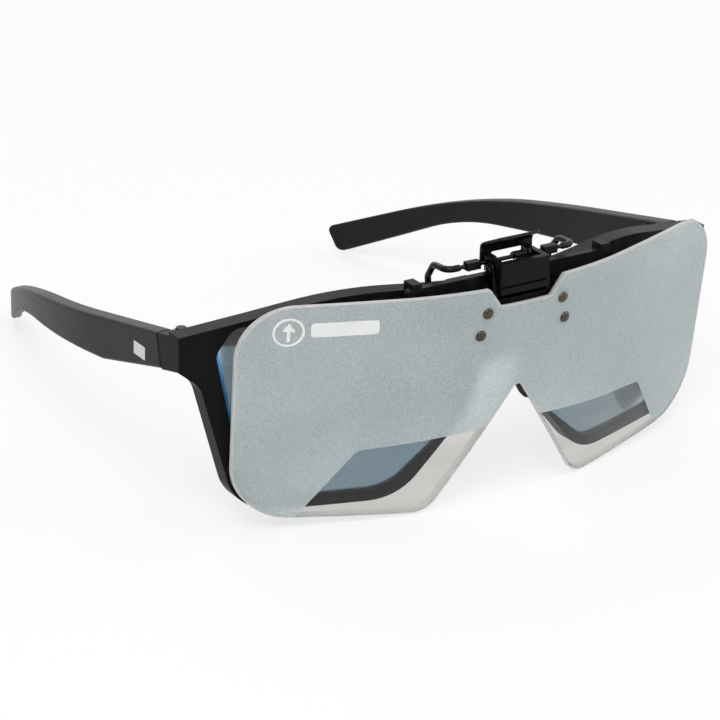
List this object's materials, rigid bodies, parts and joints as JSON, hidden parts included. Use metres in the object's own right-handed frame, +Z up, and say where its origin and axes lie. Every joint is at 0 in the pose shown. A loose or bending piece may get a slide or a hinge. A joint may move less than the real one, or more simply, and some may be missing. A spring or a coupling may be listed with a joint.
{
  "type": "clip-on flip lens",
  "caption": "Frosted one-piece flip-up lens on a sprung pinch clip, gripped on a pair of wrap sunglasses with folding temples.",
  "frame": {"origin": "on the floor under the middle of the object, which stands on the flip lens's lower edge and the ends of the temples", "axes": "+X to the right seen from the front (the wearer's left), +Y from the front of the lens back towards the temple tips, +Z up"},
  "size_m": [0.1502, 0.1584, 0.0647],
  "materials": {
    "frosted_lens": "frosted, with clear windows low at the inner corners",
    "dark_spring_steel": "blackened spring steel",
    "nickel_rivet": "dark nickel, domed",
    "black_moulding": "satin black",
    "black_sheet": "black enamel",
    "soft_rubber": "soft black",
    "matte_frame": "matte black",
    "mirror_lens": "blue flash mirror",
    "silver_inlay": "satin",
    "hinge_metal": "polished"
  },
  "bodies": {
    "sunglasses": {"front_frame": "matte_frame", "sun_lens_right": "mirror_lens", "sun_lens_left": "mirror_lens", "nose_pad_right": "soft_rubber", "nose_pad_left": "soft_rubber", "front_hinge_right": "hinge_metal", "front_hinge_left": "hinge_metal", "hinge_screw_right": "hinge_metal", "hinge_screw_left": "hinge_metal"},
    "right_temple": {"temple_right": "matte_frame", "temple_inlay_right": "silver_inlay", "temple_hinge_right": "hinge_metal"},
    "left_temple": {"temple_left": "matte_frame", "temple_inlay_left": "silver_inlay", "temple_hinge_left": "hinge_metal"},
    "clip": {"hinge_housing": "black_moulding", "hinge_pin": "dark_spring_steel", "flip_spring": "dark_spring_steel", "clip_base": "black_moulding", "front_bar": "black_moulding", "base_rivets": "nickel_rivet", "front_pad_right": "soft_rubber", "front_pad_left": "soft_rubber", "jaw_spring": "dark_spring_steel"},
    "flip": {"flip_lens": "frosted_lens", "lens_bracket": "dark_spring_steel", "lens_rivets": "nickel_rivet"},
    "rear_jaw": {"jaw_wire": "dark_spring_steel", "wire_sleeve_right": "soft_rubber", "wire_sleeve_left": "soft_rubber", "jaw_collar_right": "dark_spring_steel", "jaw_collar_left": "dark_spring_steel", "thumb_lever": "black_sheet"}
  },
  "joints": [
    {"name": "clip_lift", "type": "slide", "parent": "sunglasses", "child": "clip", "axis": [0, 0, 1], "range_m": [0, 0.01]},
    {"name": "lens_flip", "type": "hinge", "parent": "clip", "child": "flip", "pos_m": [0, -0.07415, 0.05818], "axis": [-1, 0, 0], "range_deg": [0, 90]},
    {"name": "jaw_pinch", "type": "hinge", "parent": "clip", "child": "rear_jaw", "pos_m": [0, -0.07175, 0.05918], "axis": [1, 0, 0], "range_deg": [0, 22], "stiffness_Nm_per_rad": 0.03, "springref_deg": -20.05},
    {"name": "right_temple_fold", "type": "hinge", "parent": "sunglasses", "child": "right_temple", "pos_m": [-0.0689, -0.04175, 0.04058], "axis": [0, 0, -1], "range_deg": [0, 85]},
    {"name": "left_temple_fold", "type": "hinge", "parent": "sunglasses", "child": "left_temple", "pos_m": [0.0689, -0.04175, 0.04058], "axis": [0, 0, 1], "range_deg": [0, 77]}
  ]
}
